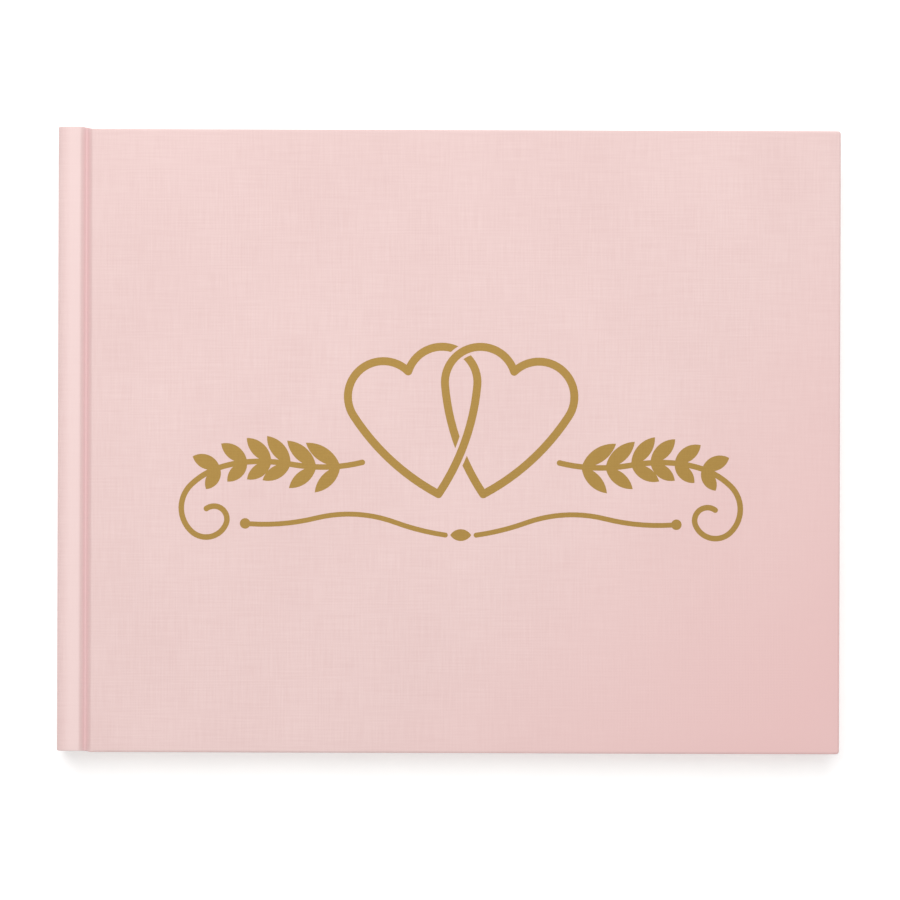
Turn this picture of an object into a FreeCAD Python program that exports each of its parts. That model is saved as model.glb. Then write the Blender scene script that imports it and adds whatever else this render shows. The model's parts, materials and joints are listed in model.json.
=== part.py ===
import FreeCAD
import Part

import math
import os

from FreeCAD import Vector

# A landscape wedding guest book: a sewn text block hung in a cloth-covered hard case.
#
# The closed book lies on its back cover. +X runs from the spine to the fore-edge, +Y from the
# foot to the head, +Z up through the front cover. The origin is the centre of the underside.
# Below, u is a distance from the spine's outer face. Everything on the front cover is its
# neighbour on the back cover, turned over about the middle of the thickness.

# Driving dimensions, in millimetres.
BOOK_WIDTH = 254.0  # spine face to fore-edge
BOOK_HEIGHT = 203.0  # foot of the boards to head of the spine
SQUARE = 3.5  # how far the boards stand out past the pages
COVER_BOARD = 2.3
SPINE_BOARD = 2.0
CLOTH = 0.35
ENDPAPER = 0.2
SPINE_LINER = 0.25
MULL = 0.15
LEAF = 0.175
SHEETS_PER_SECTION = 4
SECTION_COUNT = 9
FOLD_GAP = 0.02  # half the space inside a section's innermost fold
SECTION_PLAY = 0.03  # air between neighbouring sections
SPINE_HEAD_RISE = 0.7  # the spine's head stands this far above the boards' head
SPINE_FOOT_RISE = 0.4  # and its foot this far above the boards' foot
SPINE_ROUND = 2.5  # outer radius along the spine's long edges
RIDGE_END = 7.4  # u where the ridge beside the spine ends and the groove starts
RIDGE_ROUND = 0.9
GROOVE_WALL = 1.0  # width in u of the groove's steep side
GROOVE_SLOPE = 1.4  # width in u of its side against the board
GROOVE_DEPTH = 2.3
GROOVE_ROUND = 0.8
GROOVE_END = 11.6  # u where the groove's side would meet the board's face
EDGE_ROUND = 0.85  # outer radius of the cloth over a board's edge
TURN_IN = 15.0  # cloth folded over to the inside
PASTEDOWN_MARGIN = 4.5
HINGE_PAPER_START = 5.0  # u where the endpaper starts to cross the joint
BLOCK_BACK = 3.0  # u of the back of the folds
FOLD_ROUND = 0.68  # radius of a section's folded back
MULL_MARGIN = 26.0  # from the mull's ends to the ends of the pages
LINER_MARGIN = 17.0
THREAD = 0.18  # radius of the sewing thread
THREAD_BEND = 0.35
THREAD_OUTSIDE = 2.98  # u of the thread behind the fold
THREAD_INSIDE = 3.95  # u of the thread inside the fold
THREAD_PLAY = 0.09
SEWING_STATIONS = (8.0, 45.0, 60.0, 88.0)  # holes each side of mid-height
BAND_BEAD = 0.9  # radius of a headband's bead
BAND_SKIRT = 9.0  # how far its tape reaches down the back
BAND_TAPE = 0.15
FOIL = 0.05
FOIL_STROKE = 2.6
FOIL_CENTRE_U = 131.0
FOIL_CENTRE_BELOW_HEAD = 95.5
WEAVE_GAP = 0.9  # bare cloth beside a stroke that passes over another
HEART_TILT = 14.0
HEART_SPREAD = 11.5
HEART_LOBE = 11.5  # radius of a lobe
HEART_LOBE_OFFSET = 9.8  # from the heart's middle to a lobe's centre
HEART_SIDE = 75.0  # radius of its long sides
HEART_TIP = 35.0  # from the lobes' centres down to the tip
SPRIG_START = (32.0, -12.5)  # from the ornament's middle
SPRIG_HEADING = -14.0
SPRIG_STROKE = 1.8
SPRIG_BENDS = ((52, 8), (56, 8), (60, 8), (60, -6), (50, -9), (40, -13), (24, -26))
SPRIG_CURL = ((10.5, -92), (7.0, -110), (4.2, -150))
LEAFLET_ANGLE = 40.0  # between a leaflet and its branch
LEAFLET_LENGTH = 13.5
LEAFLET_SHORTER = 0.8  # how much shorter each leaflet is than the one before it
LEAFLET_WIDTH = 4.6
LOWER_LEAFLET_SHARE = 0.88  # a lower leaflet's length as a share of the upper one's
LOWER_LEAFLET_WIDTH = 4.2
LEAFLET_BELLY = 0.45  # where a leaflet is widest, as a share of its length
SWASH_START = (5.0, -36.0)
SWASH_HEADING = 8.0
SWASH_STROKE = 1.6
SWASH_BENDS = ((80, 12), (44, -34), (70, 19))
SWASH_DOT = 1.7  # radius of the dot at its end
DIAMOND_LENGTH = 6.8
DIAMOND_WIDTH = 3.8

# Sizes that follow from those.
COVER = CLOTH + COVER_BOARD + CLOTH + ENDPAPER
SECTION = 2 * (SHEETS_PER_SECTION * LEAF + FOLD_GAP)
FLYLEAF_TOP = COVER + ENDPAPER
BLOCK_BOTTOM = FLYLEAF_TOP + SECTION_PLAY
SECTION_STEP = SECTION + SECTION_PLAY
THICKNESS = 2 * BLOCK_BOTTOM + SECTION_COUNT * SECTION_STEP - SECTION_PLAY
MIDDLE = THICKNESS / 2
SPINE_FACE = -BOOK_WIDTH / 2
FOOT = -BOOK_HEIGHT / 2
SPINE_FOOT = FOOT + SPINE_FOOT_RISE
SPINE_HEAD = BOOK_HEIGHT / 2
HEAD = SPINE_HEAD - SPINE_HEAD_RISE
PAGE_FOOT = FOOT + SQUARE
PAGE_HEAD = HEAD - SQUARE
PAGE_EDGE = BOOK_WIDTH - SQUARE
SPINE_INNER = CLOTH + SPINE_BOARD
SLOPE_TURN = math.atan2(GROOVE_DEPTH, GROOVE_SLOPE)
JOINT_END = GROOVE_END + EDGE_ROUND * math.tan(SLOPE_TURN / 2)
BOARD_START = JOINT_END - (EDGE_ROUND - CLOTH)
CENTRE_SECTION = SECTION_COUNT // 2 + 1
FAR = 400.0  # longer than the book, for cutting boxes
TOUCHING = 1e-6  # points closer than this are the same point

os.makedirs("parts", exist_ok=True)


def box(u, y, z):
    """A box from three (low, high) pairs."""
    size = [high - low for low, high in (u, y, z)]
    return Part.makeBox(*size, Vector(SPINE_FACE + u[0], y[0], z[0]))


def turned_over(shape):
    """The same piece on the other cover."""
    return shape.mirror(Vector(0, 0, MIDDLE), Vector(0, 0, 1))


def along_y(shape):
    """Edges of the shape that run along the spine."""
    return [e for e in shape.Edges if abs(abs(e.tangentAt(e.FirstParameter).y) - 1) < TOUCHING]


def rounded_path(corners):
    """An open wire through (point, radius) corners, each turn an arc of its radius."""
    points = [point for point, _ in corners]
    edges = []
    start = points[0]
    for before, (at, radius), after in zip(points, corners[1:-1], points[2:]):
        back = (before - at).normalize()
        ahead = (after - at).normalize()
        half = back.getAngle(ahead) / 2
        reach = radius / math.tan(half)
        inward = (back + ahead).normalize()
        arc_middle = at + inward * (radius / math.sin(half) - radius)
        arc_start = at + back * reach
        arc_end = at + ahead * reach
        if (arc_start - start).Length > TOUCHING:
            edges.append(Part.LineSegment(start, arc_start).toShape())
        edges.append(Part.Arc(arc_start, arc_middle, arc_end).toShape())
        start = arc_end
    if (points[-1] - start).Length > TOUCHING:
        edges.append(Part.LineSegment(start, points[-1]).toShape())
    return Part.Wire(edges)


def cover_board():
    """The back cover's board, with its edges eased."""
    y = (FOOT + CLOTH, HEAD - CLOTH)
    board = box((BOARD_START, BOOK_WIDTH - CLOTH), y, (CLOTH, CLOTH + COVER_BOARD))
    return board.makeFillet(EDGE_ROUND - CLOTH, board.Edges)


def cover_cloth(board):
    """Cloth over the outside of the back board, turned in at its head, foot and fore-edge."""
    inside = CLOTH + COVER_BOARD
    whole = box((0, BOOK_WIDTH), (FOOT, HEAD), (0, inside + CLOTH))
    whole = whole.makeFillet(EDGE_ROUND, whole.Edges)
    window = box((0, BOOK_WIDTH - TURN_IN), (FOOT + TURN_IN, HEAD - TURN_IN), (inside, FAR))
    spine_side = box((-FAR, JOINT_END), (-FAR, FAR), (-FAR, FAR))
    return whole.cut(board).cut(window).cut(spine_side)


def joint_layer(path, layer, y):
    """One thickness of cloth on the inner side of the joint's outer path."""
    outer = path if layer == 0 else path.makeOffset2D(layer * CLOTH, 0, False, True)
    sheet = outer.makeOffset2D(CLOTH, 0, True, True)
    sheet.translate(Vector(0, y[0], 0))
    return sheet.extrude(Vector(0, y[1] - y[0], 0))


def joint_cloth():
    """The back joint: round the spine's edge, along a ridge, down a groove and up to the board."""
    outline = (
        (0, SPINE_ROUND, 0),
        (0, 0, SPINE_ROUND),
        (RIDGE_END, 0, RIDGE_ROUND),
        (RIDGE_END + GROOVE_WALL, GROOVE_DEPTH, GROOVE_ROUND),
        (GROOVE_END - GROOVE_SLOPE, GROOVE_DEPTH, GROOVE_ROUND),
        (GROOVE_END, 0, EDGE_ROUND),
        (JOINT_END, 0, 0),
    )
    path = rounded_path([(Vector(SPINE_FACE + u, 0, z), radius) for u, z, radius in outline])
    cloth = joint_layer(path, 0, (SPINE_FOOT, SPINE_HEAD))
    inside = GROOVE_DEPTH + CLOTH
    for y in ((SPINE_FOOT, FOOT + TURN_IN), (HEAD - TURN_IN, SPINE_HEAD)):
        onto_board = box((GROOVE_END - GROOVE_SLOPE, JOINT_END), y, (inside, inside + CLOTH))
        cloth = cloth.fuse([joint_layer(path, 1, y), onto_board])
    return cloth.cut(cover_board()).removeSplitter()


def spine_board():
    y = (SPINE_FOOT + CLOTH, SPINE_HEAD - CLOTH)
    return box((CLOTH, SPINE_INNER), y, (SPINE_ROUND, THICKNESS - SPINE_ROUND))


def spine_cloth():
    """Cloth down the spine's face, over its two ends and a little way up the inside."""
    z = (SPINE_ROUND, THICKNESS - SPINE_ROUND)
    whole = box((0, SPINE_INNER + CLOTH), (SPINE_FOOT, SPINE_HEAD), z)
    inside = box((SPINE_INNER, FAR), (SPINE_FOOT + TURN_IN, SPINE_HEAD - TURN_IN), z)
    return whole.cut(spine_board()).cut(inside)


def lining(u):
    """An endpaper's glued half: level on the turn-ins, and lower where it meets the board."""
    high = COVER - ENDPAPER
    low = high - CLOTH
    y = (FOOT + PASTEDOWN_MARGIN, HEAD - PASTEDOWN_MARGIN)
    window_y = (FOOT + TURN_IN, HEAD - TURN_IN)
    window_u = (u[0], min(u[1], BOOK_WIDTH - TURN_IN))
    sheet = box(u, y, (high, COVER))
    step = box(window_u, window_y, (low, COVER))
    far_step = 0 if window_u[1] == u[1] else ENDPAPER
    hollow_u = (u[0], window_u[1] - far_step)
    hollow_y = (window_y[0] + ENDPAPER, window_y[1] - ENDPAPER)
    hollow = box(hollow_u, hollow_y, (low + ENDPAPER, FAR))
    return sheet.fuse(step).cut(hollow).removeSplitter()


def flyleaf():
    return box((BLOCK_BACK, PAGE_EDGE), (PAGE_FOOT, PAGE_HEAD), (COVER, FLYLEAF_TOP))


def section(number):
    """One sewn section: folded sheets nested in each other, with a rounded back."""
    bottom = BLOCK_BOTTOM + (number - 1) * SECTION_STEP
    whole = box((BLOCK_BACK, PAGE_EDGE), (PAGE_FOOT, PAGE_HEAD), (bottom, bottom + SECTION))
    folds = [e for e in along_y(whole) if e.BoundBox.XMax < SPINE_FACE + BLOCK_BACK + FOLD_ROUND]
    return whole.makeFillet(FOLD_ROUND, folds)


def centre_section_back_half():
    """The centre section's leaves below its middle fold, cut away along the sewing thread."""
    above = box((0, FAR), (-FAR, FAR), (MIDDLE - FOLD_GAP, FAR))
    room = THREAD + THREAD_PLAY
    y = SEWING_STATIONS[-1] + 2 * THREAD
    notch = box((0, THREAD_INSIDE + room), (-y, y), (MIDDLE - room, FAR))
    return section(CENTRE_SECTION).cut(above).cut(notch)


def spine_liner():
    y = (PAGE_FOOT + LINER_MARGIN, PAGE_HEAD - LINER_MARGIN)
    z = (BLOCK_BOTTOM, THICKNESS - BLOCK_BOTTOM)
    return box((SPINE_INNER, SPINE_INNER + SPINE_LINER), y, z)


def mull():
    u = SPINE_INNER + SPINE_LINER
    y = (PAGE_FOOT + MULL_MARGIN, PAGE_HEAD - MULL_MARGIN)
    return box((u, u + MULL), y, (BLOCK_BOTTOM, THICKNESS - BLOCK_BOTTOM))


def sewing_thread():
    """The thread of the centre section, in and out through its fold."""
    stops = [-y for y in reversed(SEWING_STATIONS)] + list(SEWING_STATIONS)
    corners = [(THREAD_OUTSIDE, stops[0])]
    side = THREAD_INSIDE
    for here, there in zip(stops, stops[1:]):
        corners += [(side, here), (side, there)]
        side = THREAD_OUTSIDE + THREAD_INSIDE - side
    corners.append((THREAD_OUTSIDE, stops[-1]))
    path = rounded_path([(Vector(SPINE_FACE + u, y, MIDDLE), THREAD_BEND) for u, y in corners])
    start = path.OrderedVertexes[0].Point
    ring = Part.Wire(Part.makeCircle(THREAD, start, Vector(1, 0, 0)))
    return path.makePipe(Part.Face(ring))


def head_band():
    """A woven band at the head of the block's back: a bead on the page ends and a glued tape."""
    z = (BLOCK_BOTTOM + 2 * SECTION_PLAY, THICKNESS - BLOCK_BOTTOM - 2 * SECTION_PLAY)
    tape_u = SPINE_INNER + CLOTH
    bead_u = tape_u + BAND_BEAD
    bead_y = PAGE_HEAD + BAND_BEAD + SECTION_PLAY
    base = Vector(SPINE_FACE + bead_u, bead_y, z[0])
    bead = Part.makeCylinder(BAND_BEAD, z[1] - z[0], base)
    tape = box((tape_u, tape_u + BAND_TAPE), (PAGE_HEAD - BAND_SKIRT, bead_y), z)
    return bead.fuse(tape).removeSplitter()


def turned(vector, degrees):
    return FreeCAD.Rotation(Vector(0, 0, 1), degrees).multVec(vector)


def arcs(start, heading, turns):
    """Edges of tangent arcs from a start and a heading, one for each (radius, signed degrees)."""
    edges = []
    stops = [(start, heading)]
    for radius, turn in turns:
        side = math.copysign(1, turn)
        normal = Vector(-math.sin(math.radians(heading)), math.cos(math.radians(heading)), 0)
        centre = start + normal * (radius * side)
        points = [start]
        for part in (0.5, 1.0):
            points.append(centre + turned(start - centre, turn * part))
        edges.append(Part.Arc(*points).toShape())
        start = points[-1]
        heading += turn
        stops.append((start, heading))
    return edges, stops


def stroke(edges, width):
    """The face of an even, round-ended stroke along tangent edges."""
    return Part.Face(Part.Wire(edges).makeOffset2D(width / 2))


def heart(tilt, shift):
    """A closed heart-shaped wire, its lobes on the X axis before it is tilted."""
    lobe = Vector(HEART_LOBE_OFFSET, 0, 0)
    tip = Vector(0, -HEART_TIP, 0)
    between = HEART_SIDE - HEART_LOBE
    reach = (tip - lobe).Length
    corner = math.acos((between**2 + reach**2 - HEART_SIDE**2) / (2 * between * reach))
    outward = turned(lobe - tip, -math.degrees(corner)).normalize()
    centre = lobe - outward * between
    join = centre + outward * HEART_SIDE
    half_way = ((join - centre) + (tip - centre)).normalize()
    cleft = Vector(0, math.sqrt(HEART_LOBE**2 - HEART_LOBE_OFFSET**2), 0)
    top = lobe + Vector(0, HEART_LOBE, 0)
    right = [
        Part.Arc(cleft, top, join).toShape(),
        Part.Arc(join, centre + half_way * HEART_SIDE, tip).toShape(),
    ]
    left = [edge.mirror(Vector(), Vector(1, 0, 0)) for edge in right]
    wire = Part.Wire(Part.sortEdges(right + left)[0])
    wire.rotate(Vector(0, -HEART_TIP / 2, 0), Vector(0, 0, 1), tilt)
    wire.translate(Vector(shift, HEART_TIP / 2 - HEART_LOBE / 2, 0))
    return wire


def outline_stroke(wire, width):
    """The face of a stroke along a closed wire."""
    outer = Part.Face(wire.makeOffset2D(width / 2))
    return outer.cut(Part.Face(wire.makeOffset2D(-width / 2)))


def linked_hearts():
    """Two hearts, each passing over the other once."""
    left = heart(HEART_TILT, -HEART_SPREAD)
    right = heart(-HEART_TILT, HEART_SPREAD)
    split = HEART_LOBE / 2  # between the upper crossing and the lower one
    upper = Part.makeBox(FAR, FAR, FAR, Vector(-FAR / 2, split, -FAR / 2))
    lower = Part.makeBox(FAR, FAR, FAR, Vector(-FAR / 2, split - FAR, -FAR / 2))
    wide = FOIL_STROKE + 2 * WEAVE_GAP
    left_under = outline_stroke(right, wide).common(upper)
    right_under = outline_stroke(left, wide).common(lower)
    left_face = outline_stroke(left, FOIL_STROKE).cut(left_under)
    right_face = outline_stroke(right, FOIL_STROKE).cut(right_under)
    return left_face.fuse(right_face)


def leaflet(base, heading, length, width):
    """A pointed leaf shape between two arcs."""
    along = Vector(math.cos(math.radians(heading)), math.sin(math.radians(heading)), 0)
    across = Vector(-along.y, along.x, 0)
    tip = base + along * length
    belly = base + along * (length * LEAFLET_BELLY)
    edges = [
        Part.Arc(base, belly + across * (width / 2), tip).toShape(),
        Part.Arc(tip, belly - across * (width / 2), base).toShape(),
    ]
    return Part.Face(Part.Wire(edges))


def sprig():
    """A leafy branch that runs out to the right of the hearts and ends in a curl."""
    edges, stops = arcs(Vector(*SPRIG_START, 0), SPRIG_HEADING, SPRIG_BENDS + SPRIG_CURL)
    faces = [stroke(edges, SPRIG_STROKE)]
    for index, (point, heading) in enumerate(stops[1 : len(SPRIG_BENDS)]):
        length = LEAFLET_LENGTH - LEAFLET_SHORTER * index
        lower_length = length * LOWER_LEAFLET_SHARE
        faces.append(leaflet(point, heading + LEAFLET_ANGLE, length, LEAFLET_WIDTH))
        faces.append(leaflet(point, heading - LEAFLET_ANGLE, lower_length, LOWER_LEAFLET_WIDTH))
    return faces


def under_swash():
    """The right half of the long double curve below the hearts, with a dot at its end."""
    edges, stops = arcs(Vector(*SWASH_START, 0), SWASH_HEADING, SWASH_BENDS)
    dot = Part.Face(Part.Wire(Part.makeCircle(SWASH_DOT, stops[-1][0])))
    return [stroke(edges, SWASH_STROKE), dot]


def foil_ornament():
    """The stamped foil on the front cover, level with the cloth's face."""
    right = sprig() + under_swash()
    left = [face.mirror(Vector(), Vector(1, 0, 0)) for face in right]
    diamond_start = Vector(-DIAMOND_LENGTH / 2, SWASH_START[1], 0)
    diamond = leaflet(diamond_start, 0, DIAMOND_LENGTH, DIAMOND_WIDTH)
    faces = linked_hearts().Faces + right + left + [diamond]
    pieces = [face.extrude(Vector(0, 0, FOIL)) for face in faces]
    foil = pieces[0].fuse(pieces[1:]).removeSplitter()
    foil.translate(
        Vector(SPINE_FACE + FOIL_CENTRE_U, HEAD - FOIL_CENTRE_BELOW_HEAD, THICKNESS - FOIL)
    )
    return foil


def export(name, shape):
    shape.exportStep(os.path.join("parts", name + ".step"))
    print(f"{name:26s} valid={shape.isValid()} solids={len(shape.Solids)} mm3={shape.Volume:.2f}")


board = cover_board()
cloth = cover_cloth(board)
foil = foil_ornament()
pastedown = lining((JOINT_END, BOOK_WIDTH - PASTEDOWN_MARGIN))
hinge_paper = lining((HINGE_PAPER_START, JOINT_END))
for name, shape in (
    ("board", board),
    ("joint_cloth", joint_cloth()),
    ("pastedown", pastedown),
    ("hinge_paper", hinge_paper),
    ("flyleaf", flyleaf()),
):
    export("back_" + name, shape)
    export("front_" + name, turned_over(shape))
export("back_cloth", cloth)
export("front_cloth", turned_over(cloth).cut(foil))
export("foil_ornament", foil)

export("spine_board", spine_board())
export("spine_cloth", spine_cloth())
export("spine_liner", spine_liner())
export("mull", mull())
export("sewing_thread", sewing_thread())
export("head_band", head_band())
export("tail_band", head_band().mirror(Vector(0, (PAGE_HEAD + PAGE_FOOT) / 2, 0), Vector(0, 1, 0)))

for number in range(1, SECTION_COUNT + 1):
    if number != CENTRE_SECTION:
        export(f"section_{number}", section(number))
back_half = centre_section_back_half()
export(f"section_{CENTRE_SECTION}_back_half", back_half)
export(f"section_{CENTRE_SECTION}_front_half", turned_over(back_half))
print("thickness", THICKNESS)
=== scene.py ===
import json
import math
import random

import bmesh
import bpy
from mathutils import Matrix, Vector, noise


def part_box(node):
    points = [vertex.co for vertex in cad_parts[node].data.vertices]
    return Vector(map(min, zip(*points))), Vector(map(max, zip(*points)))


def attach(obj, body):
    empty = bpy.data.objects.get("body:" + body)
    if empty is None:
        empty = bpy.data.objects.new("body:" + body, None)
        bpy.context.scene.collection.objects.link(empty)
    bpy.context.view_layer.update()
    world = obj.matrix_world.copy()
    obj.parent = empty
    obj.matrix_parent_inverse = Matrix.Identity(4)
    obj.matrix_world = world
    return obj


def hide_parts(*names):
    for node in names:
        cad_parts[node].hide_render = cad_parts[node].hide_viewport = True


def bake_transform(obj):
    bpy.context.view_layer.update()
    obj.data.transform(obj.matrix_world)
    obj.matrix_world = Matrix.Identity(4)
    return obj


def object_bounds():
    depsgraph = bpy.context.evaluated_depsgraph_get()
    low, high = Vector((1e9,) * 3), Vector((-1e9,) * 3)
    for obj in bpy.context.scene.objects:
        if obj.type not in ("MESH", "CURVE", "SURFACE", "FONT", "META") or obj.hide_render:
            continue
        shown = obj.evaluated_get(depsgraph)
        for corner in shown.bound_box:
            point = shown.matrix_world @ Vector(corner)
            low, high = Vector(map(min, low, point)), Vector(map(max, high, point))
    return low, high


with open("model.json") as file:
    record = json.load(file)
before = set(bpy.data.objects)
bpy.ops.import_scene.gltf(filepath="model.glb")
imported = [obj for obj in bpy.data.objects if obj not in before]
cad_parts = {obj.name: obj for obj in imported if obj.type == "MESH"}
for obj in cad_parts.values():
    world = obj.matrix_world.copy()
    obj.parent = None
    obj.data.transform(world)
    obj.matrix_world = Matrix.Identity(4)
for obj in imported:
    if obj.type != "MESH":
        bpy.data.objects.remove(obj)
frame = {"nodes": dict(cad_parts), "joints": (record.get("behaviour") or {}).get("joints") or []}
CAD_LOW, CAD_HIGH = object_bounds()

# Lengths are in metres. Below, u is a distance from the spine's outer face towards the fore-edge.
# A piece that both covers have is drawn for the back cover and turned over for the front one.
MM = 0.001
SPINE_FACE = CAD_LOW.x
FORE_EDGE = CAD_HIGH.x
THICKNESS = CAD_HIGH.z
BOOK_WIDTH = FORE_EDGE - SPINE_FACE
SPINE_FOOT, SPINE_HEAD = (corner.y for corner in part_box("spine_cloth"))
FOOT, HEAD = (corner.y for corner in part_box("back_cloth"))
JOINT_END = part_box("back_cloth")[0].x - SPINE_FACE
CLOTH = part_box("back_board")[0].z
BOARD_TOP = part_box("back_board")[1].z
BOARD_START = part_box("back_board")[0].x - SPINE_FACE
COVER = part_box("back_pastedown")[1].z
PASTEDOWN_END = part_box("back_pastedown")[1].x - SPINE_FACE
HINGE_PAPER_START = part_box("back_hinge_paper")[0].x - SPINE_FACE
PAPER_FOOT, PAPER_HEAD = (corner.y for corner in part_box("back_pastedown"))
FLYLEAF_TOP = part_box("back_flyleaf")[1].z
ENDPAPER = FLYLEAF_TOP - COVER
BLOCK_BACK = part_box("section_1")[0].x - SPINE_FACE
PAGE_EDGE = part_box("section_1")[1].x - SPINE_FACE
PAGE_FOOT, PAGE_HEAD = (corner.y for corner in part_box("section_1"))
SPINE_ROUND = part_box("spine_board")[0].z
SPINE_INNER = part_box("spine_board")[1].x - SPINE_FACE

FACE_SINK = 0.03 * MM  # the cloth's outer face lies this far below the stamped foil's
RIDGE_END = 7.25 * MM
RIDGE_SPLIT = 3.0 * MM  # just past the round, where the front joint's cloth is in two pieces
GROOVE_START = 8.95 * MM
GROOVE_STOP = 9.4 * MM
GROOVE_DEPTH = 1.75 * MM
GROOVE_END = 11.15 * MM
TURN_IN = 15.0 * MM
EDGE_ROUND = 0.85 * MM
CORNER_ROUND = 1.0 * MM  # radius of a cover's corners seen from above
END_REACH = 0.5 * MM  # how far a cover's cloth reaches over its board's spine end
FACE_RIPPLE = 0.018 * MM  # unevenness of the cloth on a cover's face
MITRE_LAP = 0.12 * MM  # how far one turn-in lies over the other at a corner
MITRE_WIDTH = 0.25 * MM
RIDGE_SAG = 0.07 * MM  # unevenness of the cloth on the ridge
STEP_RAMP = 0.9 * MM  # length over which an endpaper steps off a turn-in
PAPER_RIPPLE = 0.02 * MM
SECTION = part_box("section_1")[1].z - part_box("section_1")[0].z
SECTION_COUNT = 9
CENTRE_SECTION = 5
SHEETS_PER_SECTION = 4
LEAF_GAP = 0.012 * MM
FORE_EDGE_SCATTER = 0.16 * MM  # how unevenly the sheets are cut
END_SCATTER = 0.12 * MM
BEND_SHARE = 1.1  # length of a leaf's bend as a share of how far it rises from its fold
SHORTEST_BEND = 1.2 * MM
BEND_STEP = 0.22 * MM
BAND_TAPE = 0.15 * MM
THREAD_PITCH = 0.5 * MM  # of the book cloth's weave
GAUZE_PITCH = 1.1 * MM
CHANCE = random.Random(7)

# Colours are linear red, green, blue and alpha.
CLOTH_DARK = (0.735, 0.530, 0.512, 1.0)
CLOTH_LIGHT = (0.815, 0.615, 0.594, 1.0)
# painted shade towards a cover's outer lower corner
CLOTH_CORNER_SHADE = (0.770, 0.512, 0.498, 1.0)
# painted shade in the joint's groove
CLOTH_GROOVE_SHADE = (0.705, 0.470, 0.475, 1.0)
# painted highlight on the ridge's crest
CLOTH_CREST_HIGHLIGHT = (0.850, 0.655, 0.635, 1.0)
GOLD_DARK = (0.300, 0.176, 0.036, 1.0)
GOLD_LIGHT = (0.352, 0.213, 0.049, 1.0)
FLOOR_GLOW = 0.31  # strength of the table's own light
HORIZON = 0.44  # strength of the room's light at the sides
OVERHEAD = 0.61  # and from above


# ---------------------------------------------------------------- materials


def linear(red, green, blue):
    """A colour for a shader from its 0 to 255 screen values."""
    parts = [value / 255 for value in (red, green, blue)]
    return tuple(c / 12.92 if c <= 0.04045 else ((c + 0.055) / 1.055) ** 2.4 for c in parts) + (1.0,)


class Look:
    """A material with short ways to add and join its nodes."""

    def __init__(self, name, **constants):
        self.material = bpy.data.materials.new(name)
        self.material.use_nodes = True
        self.tree = self.material.node_tree
        self.shader = self.tree.nodes["Principled BSDF"]
        for socket, value in constants.items():
            self.shader.inputs[socket.replace("_", " ")].default_value = value

    def add(self, kind, settings=None, **inputs):
        """Adds a node and sets or links its inputs, by name or as _0 and _1. Returns its first output."""
        made = self.tree.nodes.new("ShaderNode" + kind)
        for name, value in (settings or {}).items():
            setattr(made, name, value)
        for name, value in inputs.items():
            socket = made.inputs[int(name[1:]) if name[1:].isdigit() else name.replace("_", " ")]
            if isinstance(value, bpy.types.NodeSocket):
                self.tree.links.new(value, socket)
            else:
                socket.default_value = value
        return made.outputs[0]

    def math(self, operation, first, second=0.0):
        return self.add("Math", {"operation": operation}, _0=first, _1=second)

    def place(self, source="Object"):
        """Coordinates in metres, from the piece itself or from its flat cloth's map."""
        if source == "Object":
            return self.tree.nodes.new("ShaderNodeTexCoord").outputs["Object"]
        made = self.tree.nodes.new("ShaderNodeUVMap")
        made.uv_map = source
        return made.outputs["UV"]

    def stretched_noise(self, place, scale, detail=2.0):
        """Noise whose grains are longer along some axes: scale is in grains per metre on each axis."""
        moved = self.add("Mapping", Vector=place, Scale=scale)
        return self.add("TexNoise", Vector=moved, Scale=1.0, Detail=detail, Roughness=0.55)

    def threads(self, place, axis):
        """Ridges of parallel threads, counted along one axis."""
        parts = self.tree.nodes.new("ShaderNodeSeparateXYZ")
        self.tree.links.new(place, parts.inputs[0])
        phase = self.math("MULTIPLY", parts.outputs[axis], math.pi / THREAD_PITCH)
        return self.math("ABSOLUTE", self.math("SINE", phase))

    def colour(self, factor, dark, light, low=0.3, high=0.7):
        """Drives the base colour between two colours by a factor."""
        ramp = self.tree.nodes.new("ShaderNodeValToRGB")
        ramp.color_ramp.elements[0].position = low
        ramp.color_ramp.elements[0].color = dark
        ramp.color_ramp.elements[1].position = high
        ramp.color_ramp.elements[1].color = light
        self.tree.links.new(factor, ramp.inputs[0])
        self.tree.links.new(ramp.outputs[0], self.shader.inputs["Base Color"])

    def mark(self, name, most):
        """A value that a piece's points carry, from 0 to most."""
        amount = self.tree.nodes.new("ShaderNodeAttribute")
        amount.attribute_name = name
        return self.math("MULTIPLY", amount.outputs["Fac"], most)

    def stain(self, factor, colour):
        """Mixes another colour over the base colour by a factor."""
        socket = self.shader.inputs["Base Color"]
        mixer = self.tree.nodes.new("ShaderNodeMix")
        mixer.data_type = "RGBA"
        self.tree.links.new(factor, mixer.inputs["Factor"])
        self.tree.links.new(socket.links[0].from_socket, mixer.inputs["A"])
        mixer.inputs["B"].default_value = colour
        self.tree.links.new(mixer.outputs["Result"], socket)

    def bump(self, height, depth, strength=1.0):
        made = self.add("Bump", Height=height, Distance=depth, Strength=strength)
        self.tree.links.new(made, self.shader.inputs["Normal"])

    def rough(self, factor, low, high):
        """Drives the roughness between two values by a factor."""
        span = self.math("MULTIPLY", factor, high - low)
        self.tree.links.new(self.math("ADD", span, low), self.shader.inputs["Roughness"])


def weave_of(look, place):
    """Height of a plain weave with uneven threads, and the threads' unevenness by itself."""
    warp = look.stretched_noise(place, (1700, 90, 1))
    weft = look.stretched_noise(place, (70, 1900, 1))
    uneven = look.math("MULTIPLY", look.math("ADD", warp, weft), 0.5)
    crossing = look.math("MULTIPLY", look.threads(place, "X"), look.threads(place, "Y"))
    return look.math("ADD", look.math("MULTIPLY", crossing, 0.5), uneven), uneven


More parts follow.
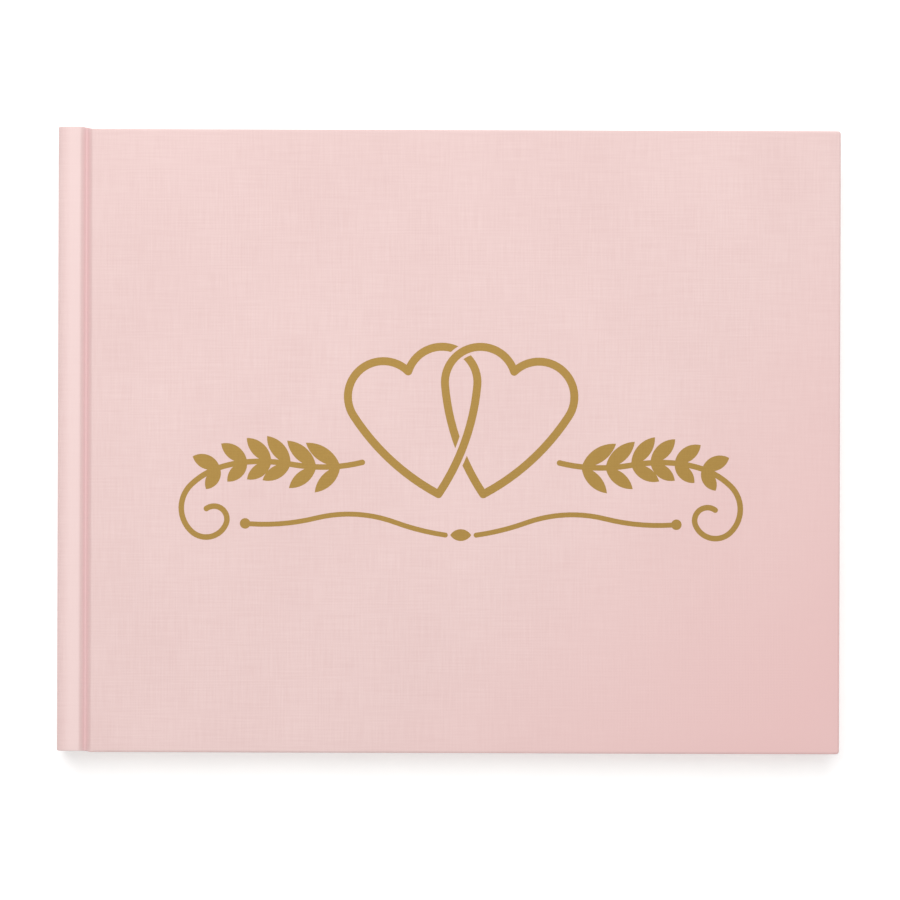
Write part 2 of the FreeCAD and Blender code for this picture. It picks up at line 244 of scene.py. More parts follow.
def painted_corner_shade(look, place):
    """Painted shade, darker and pinker: none over most of a cover, most at its outer lower corner."""
    parts = look.tree.nodes.new("ShaderNodeSeparateXYZ")
    look.tree.links.new(place, parts.inputs[0])
    across = look.math("MULTIPLY", parts.outputs["X"], 0.75)
    down = look.math("MULTIPLY", parts.outputs["Y"], -0.65)
    corner_shade = look.tree.nodes.new("ShaderNodeMapRange")
    corner_shade.inputs["From Min"].default_value = 42 * MM
    corner_shade.inputs["From Max"].default_value = 142 * MM
    look.tree.links.new(look.math("ADD", across, down), corner_shade.inputs["Value"])
    return corner_shade.outputs["Result"]


def book_cloth_look():
    """Matt pale pink linen with a paper backing."""
    look = Look("pink_book_cloth", Roughness=0.9, Sheen_Weight=0.08, Sheen_Roughness=0.45)
    look.shader.inputs["Specular IOR Level"].default_value = 0.2
    place = look.place("flat_cloth")
    height, uneven = weave_of(look, place)
    patches = look.stretched_noise(place, (26, 18, 1), 1.0)
    tone = look.math("ADD", look.math("MULTIPLY", uneven, 0.75), look.math("MULTIPLY", patches, 0.25))
    look.colour(tone, CLOTH_DARK, CLOTH_LIGHT)
    # painted shade, darker and pinker towards each cover's outer lower corner
    look.stain(painted_corner_shade(look, place), CLOTH_CORNER_SHADE)
    # painted shade in the joint's groove, darker the deeper the cloth lies
    look.stain(look.mark("groove_shade", 0.75), CLOTH_GROOVE_SHADE)
    # painted highlight along the ridge's crest
    look.stain(look.mark("crest_highlight", 0.72), CLOTH_CREST_HIGHLIGHT)
    look.bump(height, 0.06 * MM, 0.55)
    return look.material


def gold_foil_look():
    """Matt gold foil stamped into the weave."""
    look = Look("matt_gold_foil", Metallic=0.55, IOR=1.45)
    place = look.place()
    height, uneven = weave_of(look, place)
    look.colour(uneven, GOLD_DARK, GOLD_LIGHT)
    look.rough(uneven, 0.38, 0.62)
    look.bump(height, 0.03 * MM, 0.5)
    return look.material


def paper_look(name, dark, light):
    """Uncoated paper with a faint cloud of fibres."""
    look = Look(name, Roughness=0.88)
    look.shader.inputs["Specular IOR Level"].default_value = 0.25
    place = look.place()
    cloud = look.stretched_noise(place, (160, 210, 160), 3.0)
    fibre = look.stretched_noise(place, (2600, 2600, 2600), 2.0)
    mottle = look.math("ADD", look.math("MULTIPLY", cloud, 0.6), look.math("MULTIPLY", fibre, 0.4))
    look.colour(mottle, dark, light)
    look.bump(fibre, 0.006 * MM, 0.2)
    return look.material


def page_edge_look():
    """Cut edges of the leaves, streaked along each leaf where the knife passed."""
    look = Look("cut_page_edges", Roughness=0.92)
    look.shader.inputs["Specular IOR Level"].default_value = 0.15
    streaks = look.stretched_noise(look.place(), (300, 300, 9000), 2.0)
    look.colour(streaks, linear(230, 224, 210), linear(249, 245, 236))
    look.bump(streaks, 0.03 * MM, 0.5)
    return look.material


def greyboard_look():
    """Dense grey-brown millboard with darker specks."""
    look = Look("greyboard", Roughness=0.95)
    specks = look.stretched_noise(look.place(), (900, 900, 2600), 4.0)
    look.colour(specks, linear(122, 114, 104), linear(172, 163, 150), 0.35, 0.65)
    look.bump(specks, 0.08 * MM, 0.5)
    return look.material


def kraft_look():
    """Brown liner paper, ribbed by its making."""
    look = Look("kraft_paper", Roughness=0.85)
    ribs = look.stretched_noise(look.place(), (900, 120, 2400), 2.0)
    look.colour(ribs, linear(168, 128, 88), linear(196, 156, 112))
    look.bump(ribs, 0.02 * MM, 0.5)
    return look.material


def gauze_look():
    """Open starched gauze: pale threads with glue between them."""
    look = Look("starched_gauze", Roughness=0.9)
    parts = look.tree.nodes.new("ShaderNodeSeparateXYZ")
    look.tree.links.new(look.place(), parts.inputs[0])
    lines = []
    for axis in ("Y", "Z"):
        phase = look.math("MULTIPLY", parts.outputs[axis], math.pi / GAUZE_PITCH)
        lines.append(look.math("POWER", look.math("ABSOLUTE", look.math("SINE", phase)), 4.0))
    net = look.math("MAXIMUM", lines[0], lines[1])
    look.colour(net, linear(196, 176, 140), linear(240, 234, 220), 0.2, 0.7)
    look.bump(net, 0.08 * MM, 0.8)
    return look.material


def thread_look():
    """Waxed linen thread with a visible twist."""
    look = Look("linen_thread", Roughness=0.7)
    twist = look.stretched_noise(look.place(), (3500, 1400, 3500), 2.0)
    look.colour(twist, linear(214, 204, 182), linear(242, 236, 222))
    look.bump(twist, 0.04 * MM, 0.7)
    return look.material


def band_look(name, dark, light):
    """Silk wound closely round the band's core."""
    look = Look(name, Roughness=0.5, Sheen_Weight=0.3)
    strands = look.stretched_noise(look.place(), (1200, 1200, 7000), 2.0)
    look.colour(strands, dark, light)
    look.bump(strands, 0.03 * MM, 0.6)
    return look.material


def floor_look():
    """A white studio table that glows a little, like a light table."""
    look = Look("white_table", Roughness=0.9)
    grain = look.stretched_noise(look.place(), (40, 40, 40), 2.0)
    look.colour(grain, (0.88, 0.88, 0.88, 1.0), (0.9, 0.9, 0.9, 1.0))
    look.shader.inputs["Emission Color"].default_value = (1.0, 1.0, 1.0, 1.0)
    look.shader.inputs["Emission Strength"].default_value = FLOOR_GLOW
    return look.material


BOOK_CLOTH = book_cloth_look()
FOIL = gold_foil_look()
PAGE = paper_look("ivory_page_paper", linear(240, 236, 226), linear(247, 244, 236))
PAGE_CUT = page_edge_look()
ENDPAPER_LOOK = paper_look("white_endpaper", linear(238, 235, 229), linear(246, 244, 239))
GREYBOARD = greyboard_look()
KRAFT = kraft_look()
GAUZE = gauze_look()
THREAD = thread_look()
SILK_PINK = band_look("pink_band_silk", linear(214, 164, 160), linear(232, 190, 186))
SILK_IVORY = band_look("ivory_band_silk", linear(232, 224, 208), linear(246, 240, 228))


# ---------------------------------------------------------------- mesh helpers


def spread(low, high, count):
    """Evenly spaced values from low to high."""
    return [low + (high - low) * i / (count - 1) for i in range(count)]


def smoothstep(low, high, value):
    t = min(max((value - low) / (high - low), 0.0), 1.0)
    return t * t * (3 - 2 * t)


def mix(first, second, share):
    return first + (second - first) * share


def turn_over(points):
    """The same points on the other cover."""
    return [(x, y, THICKNESS - z) for x, y, z in points]


def add_mesh(name, points, faces, look, uvs=None, marks=None):
    """A smooth-shaded piece with its doubled points welded and its faces turned outward.
    marks are named values for each point, such as how much painted shade its cloth gets in the groove."""
    mesh = bpy.data.meshes.new(name)
    mesh.from_pydata([tuple(p) for p in points], [], faces)
    if uvs is not None:
        layer = mesh.uv_layers.new(name="flat_cloth")
        for loop in mesh.loops:
            layer.data[loop.index].uv = uvs[loop.vertex_index]
    for mark, values in (marks or {}).items():
        mesh.attributes.new(mark, "FLOAT", "POINT").data.foreach_set("value", values)
    edit = bmesh.new()
    edit.from_mesh(mesh)
    bmesh.ops.remove_doubles(edit, verts=edit.verts, dist=1e-7)
    bmesh.ops.recalc_face_normals(edit, faces=edit.faces)
    for face in edit.faces:
        face.smooth = True
    for edge in edit.edges:
        if len(edge.link_faces) == 2 and edge.calc_face_angle(0.0) > math.radians(40):
            edge.smooth = False
    edit.to_mesh(mesh)
    edit.free()
    mesh.materials.append(look)
    piece = bpy.data.objects.new(name, mesh)
    bpy.context.scene.collection.objects.link(piece)
    return piece


def grid_faces(rows, columns, start=0, closed=False):
    """Quads over a grid stored row after row. A closed grid joins its last column to its first."""
    faces = []
    for i in range(rows - 1):
        for j in range(columns if closed else columns - 1):
            k = (j + 1) % columns
            a, b = start + i * columns, start + (i + 1) * columns
            faces.append((a + j, a + k, b + k, b + j))
    return faces


def two_sided(outer, inner, rows, columns, first_row_open=True):
    """Points and faces of a thin sheet between two equal grids, with a wall round its open edges."""
    count = len(outer)
    faces = grid_faces(rows, columns) + grid_faces(rows, columns, count)
    rim = [i * columns + columns - 1 for i in range(rows)]
    rim += [(rows - 1) * columns + j for j in range(columns - 2, -1, -1)]
    rim += [i * columns for i in range(rows - 2, -1, -1)]
    if first_row_open:
        rim += list(range(1, columns))
    for a, b in zip(rim, rim[1:]):
        faces.append((a, b, count + b, count + a))
    return outer + inner, faces


def rounded_path(corners, arc_steps=6, run_step=2.0 * MM):
    """Points along an open path of (a, b, radius) corners turned as arcs, and their left-hand normals."""
    points = [Vector((a, b)) for a, b, _ in corners]
    path = [points[0]]
    for before, at, after, (_, _, radius) in zip(points, points[1:], points[2:], corners[1:]):
        back = (before - at).normalized()
        ahead = (after - at).normalized()
        half = back.angle(ahead) / 2
        centre = at + (back + ahead).normalized() * (radius / math.sin(half))
        arm = at + back * (radius / math.tan(half)) - centre
        turn = (math.pi - 2 * half) * (1 if back.cross(ahead) < 0 else -1)
        path += run_points(path[-1], centre + arm, run_step)
        for step in range(arc_steps + 1):
            c = math.cos(turn * step / arc_steps)
            s = math.sin(turn * step / arc_steps)
            path.append(centre + Vector((arm.x * c - arm.y * s, arm.x * s + arm.y * c)))
    path += run_points(path[-1], points[-1], run_step)
    path.append(points[-1])
    kept = [path[0]]
    for point in path[1:]:
        if (point - kept[-1]).length > 0.002 * MM:
            kept.append(point)
    normals = []
    for i in range(len(kept)):
        along = kept[min(i + 1, len(kept) - 1)] - kept[max(i - 1, 0)]
        normals.append(Vector((-along.y, along.x)).normalized())
    return kept, normals


def run_points(start, stop, step):
    """Points between two others, no further apart than a step."""
    count = math.ceil((stop - start).length / step)
    return [start.lerp(stop, i / count) for i in range(1, count)]


def walked(path):
    """Each point's distance along its path."""
    distances = [0.0]
    for a, b in zip(path, path[1:]):
        distances.append(distances[-1] + (b - a).length)
    return distances


def finish_piece(piece, nodes, body=None, bend=None):
    """Hides the CAD nodes a piece stands for and hangs it on the body it rides on. Given a bend, it only
    bakes the piece's placement into its points.
    """
    if body:
        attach(piece, body)
    if bend:
        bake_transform(piece)
    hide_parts(*nodes)
    return piece


# ---------------------------------------------------------------- case cloth


def edge_wrap_length():
    """Length of cloth from the start of the cover's rounded edge to the end of the turn-in."""
    height = BOARD_TOP + CLOTH
    return math.pi * EDGE_ROUND + height - 2 * EDGE_ROUND + TURN_IN - EDGE_ROUND


def cover_loop(inset, left):
    """Points inset from a cover's edges: along the foot, up the fore-edge and back along the head."""
    radius = max(CORNER_ROUND - inset, 0.0)
    right = FORE_EDGE - inset
    low = FOOT + inset
    high = HEAD - inset
    arc_x = right - radius
    turns = [math.pi / 2 * step / 6 for step in range(1, 7)]
    points = [(x, low) for x in spread(left, arc_x, 34)]
    points += [(arc_x + radius * math.sin(t), low + radius - radius * math.cos(t)) for t in turns]
    points += [(right, y) for y in spread(low + radius, high - radius, 26)[1:]]
    points += [(arc_x + radius * math.cos(t), high - radius + radius * math.sin(t)) for t in turns]
    return points + [(x, high) for x in spread(arc_x, left, 34)[1:]]


def cover_cloth(name, body, nodes, front):
    """Cloth over a cover's face and edges, with turned-in margins mitred at the corners."""
    top = BOARD_TOP + CLOTH
    middle = (HEAD - FOOT) / 2
    corners = [
        (middle, FACE_SINK, 0),
        (0, FACE_SINK, EDGE_ROUND),
        (0, top, EDGE_ROUND),
        (TURN_IN, top, 0),
    ]
    path, normals = rounded_path(corners, arc_steps=7, run_step=7 * MM)
    edge = walked(path)
    zero = edge[-1] - edge_wrap_length() + EDGE_ROUND
    grids = ([], [])
    uvs = []
    for point, normal, along in zip(path, normals, edge):
        reach = END_REACH * smoothstep(0.3 * MM, 1.0 * MM, point.y)
        left = SPINE_FACE + JOINT_END - reach
        flat = cover_loop(zero - along, left)
        for depth, grid in zip((0.0, CLOTH), grids):
            inset = point.x - normal.x * depth
            for x, y in cover_loop(inset, left):
                z = point.y - normal.y * depth
                if point.y < CLOTH and point.x > 2 * MM:
                    z += FACE_RIPPLE * noise.noise(Vector((x, y, 0)) * 22)
                if point.y > top - 0.01 * MM and point.x > EDGE_ROUND:
                    corner = (FORE_EDGE - x) - min(y - FOOT, HEAD - y)
                    z += MITRE_LAP * smoothstep(-MITRE_WIDTH, MITRE_WIDTH, corner)
                grid.append((x, y, z))
        uvs += flat
    columns = len(cover_loop(0.0, 0.0))
    points, faces = two_sided(grids[0], grids[1], len(path), columns, first_row_open=False)
    if front:
        points = turn_over(points)
    piece = add_mesh(name, points, faces, BOOK_CLOTH, uvs + uvs)
    finish_piece(piece, nodes, body)
    wrap = edge_wrap_length() - EDGE_ROUND
    flat = (BOOK_WIDTH - JOINT_END + wrap, HEAD - FOOT + 2 * wrap)
    flap = board_end_cloth(name + "_board_end", body, nodes, front)


def board_end_cloth(name, body, nodes, front):
    """Turned-in cloth at the head and the foot, where it climbs over the board's spine end."""
    top = BOARD_TOP + CLOTH
    face = BOARD_START - CLOTH
    corners = [(face, 1.5 * CLOTH, 0), (face, top, CLOTH), (BOARD_START, top, 0)]
    path, normals = rounded_path(corners, run_step=0.4 * MM)
    edge = walked(path)
    points, faces, uvs = [], [], []
    for low, high in ((FOOT, FOOT + TURN_IN), (HEAD - TURN_IN, HEAD)):
        ys = spread(low, high, 12)
        grids = ([], [])
        for y in ys:
            for point, normal in zip(path, normals):
                for depth, grid in zip((0.0, CLOTH), grids):
                    u, z = point - normal * depth
                    grid.append((SPINE_FACE + u, y, z))
        more, quads = two_sided(grids[0], grids[1], len(ys), len(path))
        faces += [tuple(len(points) + i for i in quad) for quad in quads]
        points += more
        uvs += [(SPINE_FACE + along, y) for y in ys for along in edge] * 2
    if front:
        points = turn_over(points)
    piece = add_mesh(name, points, faces, BOOK_CLOTH, uvs)
    return finish_piece(piece, nodes, body)


def joint_path():
    """The joint's outer profile, from the spine's round to the board, in (u, z)."""
    corners = [
        (0, SPINE_ROUND, 0),
        (0, FACE_SINK, SPINE_ROUND - FACE_SINK - 0.001 * MM),
        (RIDGE_END, FACE_SINK, 1.1 * MM),
        (GROOVE_START, GROOVE_DEPTH, 0.5 * MM),
        (GROOVE_STOP, GROOVE_DEPTH, 0.5 * MM),
        (GROOVE_END, FACE_SINK, EDGE_ROUND),
        (JOINT_END + 0.01 * MM, FACE_SINK, 0),
    ]
    return rounded_path(corners, arc_steps=10, run_step=0.3 * MM)


def joint_ring(low, high):
    """(y, depth) round the joint's cloth: one layer thick, and folded double at both ends."""
    fold = CLOTH
    arcs = [math.pi * step / 8 for step in range(1, 8)]
    inner_low = FOOT + TURN_IN
    inner_high = HEAD - TURN_IN
    ring = [(y, 0.0) for y in spread(low + fold, high - fold, 60)]
    ring += [(high - fold + fold * math.sin(t), fold - fold * math.cos(t)) for t in arcs]
    ring += [(high - fold, 2 * fold), (inner_high, 2 * fold)]
    ring += [(y, fold) for y in spread(inner_high - 0.1 * MM, inner_low + 0.1 * MM, 20)]
    ring += [(inner_low, 2 * fold), (low + fold, 2 * fold)]
    return ring + [(low + fold - fold * math.sin(t), fold + fold * math.cos(t)) for t in arcs]


def joint_cloth(name, first, last, nodes, front, bend):
    """Cloth along part of the joint's profile, between two distances from the spine, and its width."""
    path, normals = joint_path()
    edge = walked(path)
    start = min(range(len(path)), key=lambda i: abs(path[i].x - first)) if first else 0
    stop = min(range(len(path)), key=lambda i: abs(path[i].x - last))
    points, uvs = [], []
    marks = {"groove_shade": [], "crest_highlight": []}
    for i in range(start, stop + 1):
        u, z = path[i]
        beside_board = smoothstep(RIDGE_END + 0.6 * MM, GROOVE_END + 0.2 * MM, u)
        low = mix(SPINE_FOOT, FOOT, beside_board)
        high = mix(SPINE_HEAD, HEAD, beside_board)
        crest = smoothstep(1.5 * MM, 4.5 * MM, u) * smoothstep(GROOVE_START, RIDGE_END - MM, u)
        for y, depth in joint_ring(low, high):
            sag = RIDGE_SAG * crest * (0.5 + 0.5 * noise.noise(Vector((3.1, y * 45, 0.0))))
            points.append((SPINE_FACE + u + normals[i].x * depth, y, z + normals[i].y * depth + sag))
            uvs.append((SPINE_FACE + edge[i], y + depth))
            # painted shade, growing with the cloth's depth in the groove
            marks["groove_shade"].append(z / GROOVE_DEPTH if u > RIDGE_SPLIT else 0.0)
            # painted highlight along the ridge's crest
            marks["crest_highlight"].append(crest)
    rows = stop - start + 1
    columns = len(points) // rows
    faces = grid_faces(rows, columns, closed=True)
    faces.append(tuple(range(columns)))
    faces.append(tuple((rows - 1) * columns + j for j in range(columns)))
    if front:
        points = turn_over(points)
    piece = add_mesh(name, points, faces, BOOK_CLOTH, uvs, marks)
    finish_piece(piece, nodes, bend=bend)
    return piece, edge[stop] - edge[start]


def joint_cloths():
    """The back joint is one piece. The front one is split beside its round, since it bends twice."""
    low_arc = Vector((SPINE_FACE + SPINE_ROUND, 0, 0))
    high_arc = Vector((SPINE_FACE, 0, SPINE_ROUND))
    bend = ("back_cover", "spine", low_arc, high_arc)
    nodes = ["back_joint_cloth"]
    whole, width = joint_cloth("back_joint_cloth_piece", 0, JOINT_END, nodes, False, bend)
    nodes = ["front_joint_cloth"]
    spine_arc = Vector((SPINE_FACE, 0, THICKNESS - SPINE_ROUND))
    ridge_arc = Vector((SPINE_FACE + SPINE_ROUND, 0, THICKNESS))
    bend = ("spine", "front_hinge", spine_arc, ridge_arc)
    rounding, _ = joint_cloth("front_joint_cloth_round", 0, RIDGE_SPLIT, nodes, True, bend)
    ridge = Vector((SPINE_FACE + RIDGE_END, 0, 0))
    board = Vector((SPINE_FACE + GROOVE_END, 0, 0))
    bend = ("front_hinge", "front_cover", ridge, board)
    name = "front_joint_cloth_groove"
    groove, width = joint_cloth(name, RIDGE_SPLIT, JOINT_END, nodes, True, bend)


def spine_cloth():
    """Cloth along the spine board's outer face, turned in over its head and foot."""
    inner = SPINE_INNER + CLOTH
    corners = [
        (inner, HEAD - TURN_IN, 0),
        (inner, SPINE_HEAD, EDGE_ROUND),
        (0, SPINE_HEAD, EDGE_ROUND),
        (0, SPINE_FOOT, EDGE_ROUND),
        (inner, SPINE_FOOT, EDGE_ROUND),
        (inner, FOOT + TURN_IN, 0),
    ]
    path, normals = rounded_path(corners, run_step=4 * MM)
    edge = walked(path)
    heights = spread(SPINE_ROUND, THICKNESS - SPINE_ROUND, 12)
    grids = ([], [])
    uvs = []
    for z in heights:
        for point, normal, along in zip(path, normals, edge):
            for depth, grid in zip((0.0, CLOTH), grids):
                grid.append((SPINE_FACE + point.x + normal.x * depth, point.y + normal.y * depth, z))
            uvs.append((SPINE_FACE - z, along))
    points, faces = two_sided(grids[0], grids[1], len(heights), len(path))
    piece = add_mesh("spine_cloth_wrap", points, faces, BOOK_CLOTH, uvs + uvs)
    finish_piece(piece, ["spine_cloth"], "spine")


# ---------------------------------------------------------------- paper


def lining(name, u_low, u_high, nodes, front, body=None, bend=None):
    """A glued endpaper, which steps down from the turned-in cloth to the board inside it."""
    low_edge = FOOT + TURN_IN
    high_edge = HEAD - TURN_IN
    fore_edge = BOOK_WIDTH - TURN_IN
    ys = spread(PAPER_FOOT, low_edge - 0.4 * MM, 5) + spread(low_edge, low_edge + STEP_RAMP, 6)
    ys += spread(low_edge + 3 * MM, high_edge - 3 * MM, 16)
    ys += spread(high_edge - STEP_RAMP, high_edge, 6) + spread(high_edge + 0.4 * MM, PAPER_HEAD, 5)
    if u_high > fore_edge:
        us = spread(u_low, fore_edge - 3 * MM, 20) + spread(fore_edge - STEP_RAMP, fore_edge, 6)
        us += spread(fore_edge + 0.4 * MM, u_high, 5)
    else:
        us = spread(u_low, GROOVE_STOP - 0.2 * MM, 12) + spread(GROOVE_STOP, u_high, 34)
    grids = ([], [])
    for u in us:
        for y in ys:
            sink = smoothstep(low_edge, low_edge + STEP_RAMP, y)
            sink *= smoothstep(high_edge, high_edge - STEP_RAMP, y)
            sink *= smoothstep(fore_edge, fore_edge - STEP_RAMP, u)
            sink *= smoothstep(HINGE_PAPER_START, GROOVE_START, u)
            ripple = PAPER_RIPPLE * noise.noise(Vector((u, y, 0.5)) * 35)
            for depth, grid in zip((0.0, ENDPAPER), grids):
                grid.append((SPINE_FACE + u, y, COVER - depth - CLOTH * sink + ripple * sink))
    points, faces = two_sided(grids[0], grids[1], len(us), len(ys))
    if front:
        points = turn_over(points)
    piece = add_mesh(name, points, faces, ENDPAPER_LOOK)
    finish_piece(piece, nodes, body, bend)


def linings():
    """A pastedown in each cover, and the strip of endpaper that crosses each joint."""
    swing = next(joint for joint in frame["joints"] if joint["name"] == "front_cover_swing")
    start = Vector((swing["pos_m"][0] - 0.1 * MM, 0, 0))
    stop = Vector((SPINE_FACE + JOINT_END, 0, 0))
    bend = ("front_hinge", "front_cover", start, stop)
    for side, front in (("back", False), ("front", True)):
        name = side + "_pastedown_paper"
        lining(name, JOINT_END, PASTEDOWN_END, [side + "_pastedown"], front, side + "_cover")
    nodes = ["back_hinge_paper"]
    lining("back_hinge_strip", HINGE_PAPER_START, JOINT_END, nodes, False, "back_cover")
    nodes = ["front_hinge_paper"]
    lining("front_hinge_strip", HINGE_PAPER_START, JOINT_END, nodes, True, bend=bend)


def leaf_stations(start, stop):
    """Distances from the spine along a leaf, close together where it bends beside its fold."""
    near = [start + BEND_STEP * i for i in range(1, 41)]
    near += [near[-1] + 1.5 * MM * i for i in range(1, 5)]
    far = [24, 28, 34, 44, 62, 90, 130, 172, 212, 240]
    return near + [u * MM for u in far] + [stop]


def bend_of(height, body):
    """Where a leaf bends as the book opens, beside its fold. height is how far it rises there."""
    start = Vector((SPINE_FACE + BLOCK_BACK, 0, 0))
    length = max(BEND_SHARE * height, SHORTEST_BEND)
    return ("spine", body, start, start + Vector((length, 0, 0)))


def folded_sheet(middle, outer, inner, sides, edges, foot, head):
    """Points and faces of one sheet folded round a section's middle height, or of one leaf of it."""
    centre = BLOCK_BACK + SECTION / 2
    quarter = [math.pi / 2 * step / 7 for step in range(8)]
    lines = []
    for radius in (outer, inner):
        line = []
        for side, edge in zip(sides, edges):
            run = [(centre - radius * math.cos(t), middle + side * radius * math.sin(t)) for t in quarter]
            run += [(u, middle + side * radius) for u in leaf_stations(centre, edge)]
            line = line[::-1] + run if not line else line[::-1] + run[1:]
        lines.append(line)
    ys = spread(foot, head, 7)
    grids = [[(SPINE_FACE + u, y, z) for y in ys for u, z in line] for line in lines]
    return two_sided(grids[0], grids[1], len(ys), len(lines[0]))


def page_section(name, nodes, low, sides, body, height):
    """The nested folded sheets of a section. sides is (-1, 1), or one of them for half a section."""
    pitch = SECTION / 2 / (SHEETS_PER_SECTION + 0.1)
    middle = low + SECTION / 2
    points, faces = [], []
    for sheet in range(SHEETS_PER_SECTION):
        outer = SECTION / 2 - sheet * pitch
        inner = outer - pitch + LEAF_GAP
        edges = [PAGE_EDGE - CHANCE.uniform(0.0, FORE_EDGE_SCATTER) for _ in sides]
        foot = PAGE_FOOT + CHANCE.uniform(0.0, END_SCATTER)
        head = PAGE_HEAD - CHANCE.uniform(0.0, END_SCATTER)
        more, quads = folded_sheet(middle, outer, inner, sides, edges, foot, head)
        faces += [tuple(len(points) + i for i in quad) for quad in quads]
        points += more
    piece = add_mesh(name, points, faces, PAGE)
    piece.data.materials.append(PAGE_CUT)
    for face in piece.data.polygons:
        across = abs(face.normal.y) > 0.7
        at_fore_edge = face.normal.x > 0.7 and face.center.x > SPINE_FACE + PAGE_EDGE - MM
        if across or at_fore_edge:
            face.material_index = 1
    finish_piece(piece, nodes, bend=bend_of(height, body))


def page_sections():
    """Nine sections. The middle one is in two halves, one for each side of an open book."""
    for number in range(1, SECTION_COUNT + 1):
        if number == CENTRE_SECTION:
            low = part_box(f"section_{number}_back_half")[0].z
            height = THICKNESS / 2 - BLOCK_BACK
            for half, side in (("back", -1), ("front", 1)):
                node = f"section_{number}_{half}_half"
                page_section(f"section_{number}_{half}_leaves", [node], low, (side,), node, height)
        else:
            node = f"section_{number}"
            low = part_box(node)[0].z
            middle = low + SECTION / 2
            height = min(middle, THICKNESS - middle) - BLOCK_BACK
            page_section(node + "_leaves", [node], low, (-1, 1), node, height)


def flyleaf(name, node, front, section):
    """The free half of an endpaper, which bends with the section beside it."""
    stations = [BLOCK_BACK] + leaf_stations(BLOCK_BACK, PAGE_EDGE - 0.1 * MM)
    ys = spread(PAGE_FOOT + 0.05 * MM, PAGE_HEAD - 0.05 * MM, 9)
    outer = [(SPINE_FACE + u, y, COVER + 0.01 * MM) for y in ys for u in stations]
    inner = [(x, y, FLYLEAF_TOP - 0.005 * MM) for x, y, _ in outer]
    points, faces = two_sided(outer, inner, len(ys), len(stations))
    if front:
        points = turn_over(points)
    piece = add_mesh(name, points, faces, ENDPAPER_LOOK)
    finish_piece(piece, [node], bend=bend_of(FLYLEAF_TOP - BLOCK_BACK, section))


# ---------------------------------------------------------------- bands


def worked_band(name, node, head):
    """A band wound with silk of two colours, on a tape glued to the back of the sections."""
    low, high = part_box(node)
    radius = (high.x - low.x) / 2
    rows, columns, turns = 157, 20, 26
    centre_x = low.x + radius
    centre_y = high.y - radius if head else low.y + radius
    points = []
    for i, z in enumerate(spread(low.z, high.z, rows)):
        rib = abs(math.sin(math.pi * turns * i / (rows - 1)))
        end = min(i, rows - 1 - i)
        size = radius * (0.9 + 0.1 * math.sqrt(rib)) * (0.0 if end == 0 else 1.0)
        for j in range(columns):
            angle = 2 * math.pi * j / columns
            points.append((centre_x + size * math.cos(angle), centre_y + size * math.sin(angle), z))
    piece = add_mesh(name, points, grid_faces(rows, columns, closed=True), SILK_IVORY)
    piece.data.materials.append(SILK_PINK)
    for face in piece.data.polygons:
        turn = int((face.center.z - low.z) / (high.z - low.z) * turns)
        face.material_index = turn // 2 % 2
    finish_piece(piece, [node], "spine")
    tape_ends = (low.y, centre_y) if head else (centre_y, high.y)
    us = (low.x, low.x + BAND_TAPE)
    ys = spread(tape_ends[0], tape_ends[1], 8)
    zs = spread(low.z, high.z, 8)
    grids = [[(u, y, z) for y in ys for z in zs] for u in us]
    points, faces = two_sided(grids[0], grids[1], len(ys), len(zs))
    tape = add_mesh(name + "_tape", points, faces, SILK_IVORY)
    finish_piece(tape, [node], "spine")


# ---------------------------------------------------------------- kept CAD nodes


def dress(node, look):
    """Gives a CAD node that keeps its own shape its finish."""
    piece = frame["nodes"][node]
    if not piece.material_slots:
        piece.data.materials.append(look)
    for place in piece.material_slots:
        place.material = look


def dress_kept_nodes():
    for board in ("back_board", "front_board", "spine_board"):
        dress(board, GREYBOARD)
    dress("spine_liner", KRAFT)
    dress("mull", GAUZE)
    dress("sewing_thread", THREAD)
    dress("foil_ornament", FOIL)


# ---------------------------------------------------------------- studio


def studio_floor():
    """A wide white table under the book."""
    half = 40.0
    corners = [(-half, -half, 0), (half, -half, 0), (half, half, 0), (-half, half, 0)]
    mesh = bpy.data.meshes.new("table")
    mesh.from_pydata(corners, [], [(0, 1, 2, 3)])
    mesh.materials.append(floor_look())
    table = bpy.data.objects.new("table", mesh)
    bpy.context.scene.collection.objects.link(table)
    table.location.z = CAD_LOW.z - 0.02 * MM


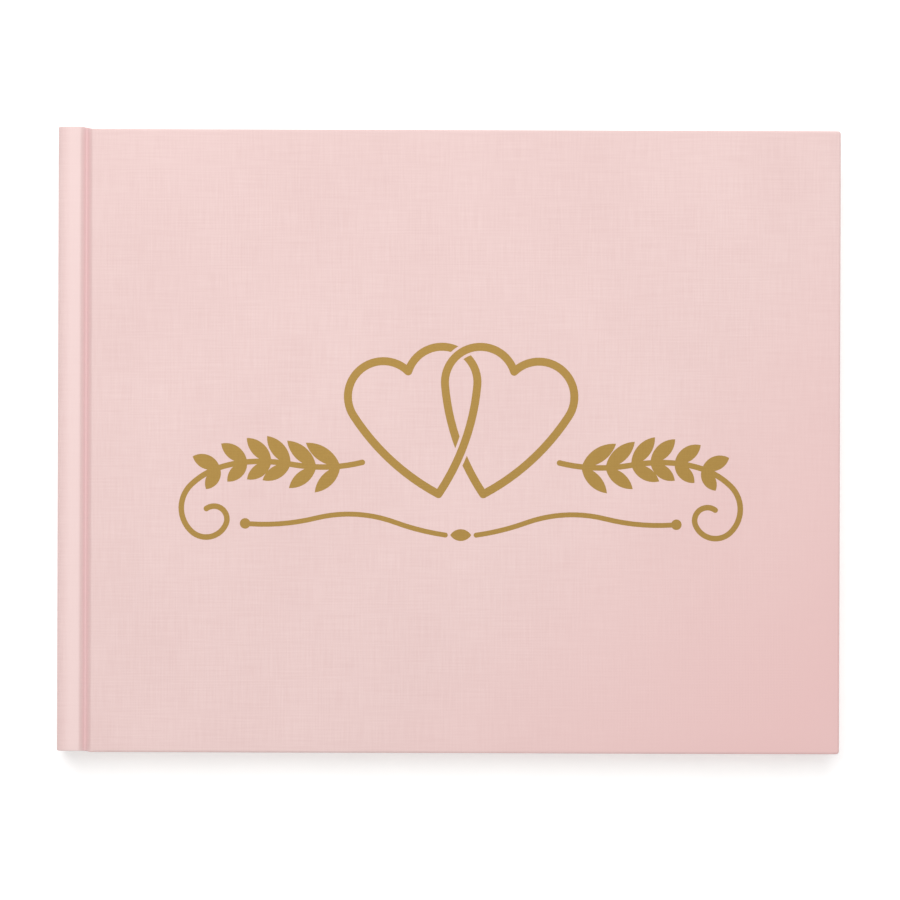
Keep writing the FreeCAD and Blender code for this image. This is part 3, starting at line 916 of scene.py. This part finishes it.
def soft_box(name, place, size, power):
    """A square soft light that faces the book."""
    light = bpy.data.lights.new(name, "AREA")
    light.shape = "SQUARE"
    light.size = size
    light.energy = power
    lamp = bpy.data.objects.new(name, light)
    bpy.context.scene.collection.objects.link(lamp)
    lamp.location = place
    lamp.rotation_mode = "QUATERNION"
    lamp.rotation_quaternion = (-Vector(place)).to_track_quat("-Z", "Y")
    lamp.visible_camera = False


def studio_light():
    """A pale room, brighter overhead, and one wide soft box over the book's upper left."""
    world = bpy.data.worlds.new("studio")
    world.use_nodes = True
    tree = world.node_tree
    parts = tree.nodes.new("ShaderNodeSeparateXYZ")
    tree.links.new(tree.nodes.new("ShaderNodeTexCoord").outputs["Generated"], parts.inputs[0])
    height = tree.nodes.new("ShaderNodeMapRange")
    height.inputs["To Min"].default_value = HORIZON
    height.inputs["To Max"].default_value = OVERHEAD
    tree.links.new(parts.outputs["Z"], height.inputs["Value"])
    sky = tree.nodes["Background"]
    sky.inputs["Color"].default_value = (1.0, 1.0, 1.0, 1.0)
    tree.links.new(height.outputs["Result"], sky.inputs["Strength"])
    bpy.context.scene.world = world
    soft_box("key", place=(-0.1, 0.44, 1.1), size=0.9, power=9.6)
    bpy.context.scene.view_settings.view_transform = "Standard"


def camera():
    """A long lens straight above the book, aimed a little below its middle."""
    lens = bpy.data.cameras.new("camera")
    lens.lens = 200.0
    lens.sensor_width = 36.0
    frame_width = 292.0 * MM  # what the picture spans at the front cover's face
    aim = (0.44 * MM, -3.1 * MM)
    roll = math.radians(0.18)
    eye = bpy.data.objects.new("camera", lens)
    bpy.context.scene.collection.objects.link(eye)
    distance = frame_width * lens.lens / lens.sensor_width
    eye.location = (aim[0], aim[1], THICKNESS + distance)
    eye.rotation_euler = (0.0, 0.0, roll)
    bpy.context.scene.camera = eye


# ---------------------------------------------------------------- the book

camera()
studio_light()
studio_floor()
cover_cloth("back_cover_cloth", "back_cover", ["back_cloth"], False)
cover_cloth("front_cover_cloth", "front_cover", ["front_cloth"], True)
joint_cloths()
spine_cloth()
linings()
page_sections()
flyleaf("back_flyleaf_paper", "back_flyleaf", False, "section_1")
flyleaf("front_flyleaf_paper", "front_flyleaf", True, "section_9")
worked_band("worked_head_band", "head_band", True)
worked_band("worked_tail_band", "tail_band", False)
dress_kept_nodes()
